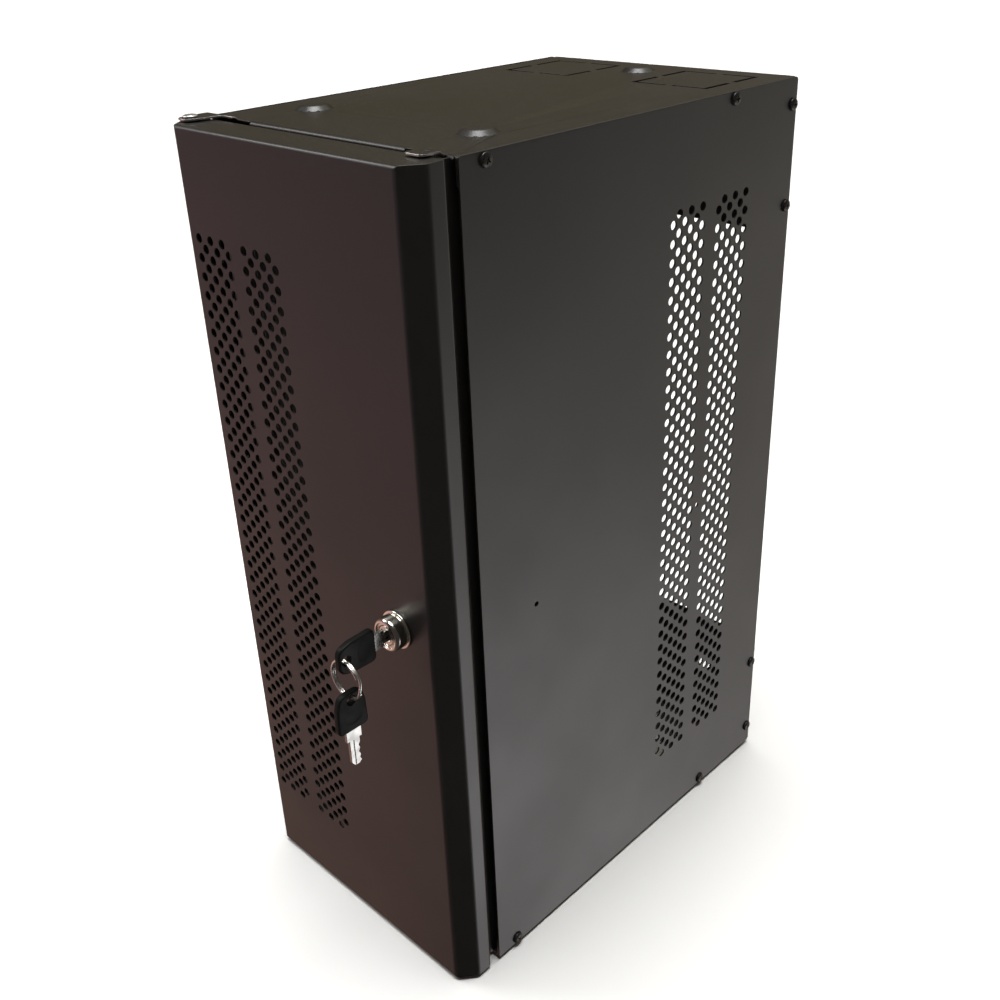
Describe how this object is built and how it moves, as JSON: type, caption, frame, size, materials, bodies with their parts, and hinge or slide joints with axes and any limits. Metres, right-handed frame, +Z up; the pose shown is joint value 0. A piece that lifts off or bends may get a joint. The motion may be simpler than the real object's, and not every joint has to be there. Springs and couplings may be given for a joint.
{
  "type": "vertical wall-mount rack cabinet",
  "caption": "Slim upright wall cabinet for 19-inch rack equipment, with a hinged vented door, cam lock with keys, screwed vented side covers and open cable window.",
  "frame": {"origin": "centre of the four wall bolt holes, on the outside of the rear panel", "axes": "+X right as seen from the front, +Y into the wall, +Z up"},
  "size_m": [0.2196, 0.3924, 0.5571],
  "materials": {
    "powder_coat": "satin fine-texture powder coat",
    "zinc_plate": "dull bright zinc",
    "black_screws": "black oxide, slightly glossy",
    "nylon": "matt",
    "buffer_rubber": "soft, slightly translucent grey",
    "chrome_plate": "polished",
    "nickel_plate": "bright nickel, lightly worn",
    "key_plastic": "moulded, semi-matt"
  },
  "bodies": {
    "cabinet": {"top_panel": "powder_coat", "bottom_panel": "powder_coat", "rear_panel": "powder_coat", "left_cover": "powder_coat", "right_cover": "powder_coat", "left_post": "powder_coat", "right_post": "powder_coat", "left_cover_screws": "black_screws", "right_cover_screws": "black_screws", "upper_rail_supports": "zinc_plate", "lower_rail_supports": "zinc_plate", "upper_rack_rail": "zinc_plate", "lower_rack_rail": "zinc_plate", "rail_bolts": "zinc_plate", "rail_nuts": "zinc_plate", "earth_stud": "zinc_plate", "earth_nut": "zinc_plate", "upper_hinge_pin": "zinc_plate", "lower_hinge_pin": "zinc_plate", "door_buffers": "buffer_rubber"},
    "door": {"door": "powder_coat", "door_stiffener": "powder_coat", "hinge_bushes": "nylon", "lock_body": "chrome_plate", "lock_nut": "zinc_plate"},
    "lock": {"lock_plug": "chrome_plate", "lock_cam": "zinc_plate", "cam_screw": "zinc_plate", "key_blade": "nickel_plate", "key_bow": "key_plastic"},
    "ring": {"key_ring": "nickel_plate"},
    "spare_key": {"spare_key_blade": "nickel_plate", "spare_key_bow": "key_plastic"}
  },
  "joints": [
    {"name": "door_hinge", "type": "hinge", "parent": "cabinet", "child": "door", "pos_m": [-0.0995, -0.3275, 0], "axis": [0, 0, -1], "range_deg": [0, 180]},
    {"name": "lock_turn", "type": "hinge", "parent": "door", "child": "lock", "pos_m": [0.0685, -0.341, 0], "axis": [0, -1, 0], "range_deg": [0, 90]},
    {"name": "ring_swing", "type": "hinge", "parent": "lock", "child": "ring", "pos_m": [0.0685, -0.3814, 0], "axis": [1, 0, 0], "range_deg": [-60, 25]},
    {"name": "spare_key_slide", "type": "hinge", "parent": "ring", "child": "spare_key", "pos_m": [0.0685, -0.3814, -0.014], "axis": [0, 1, 0], "range_deg": [-90, 90]}
  ]
}
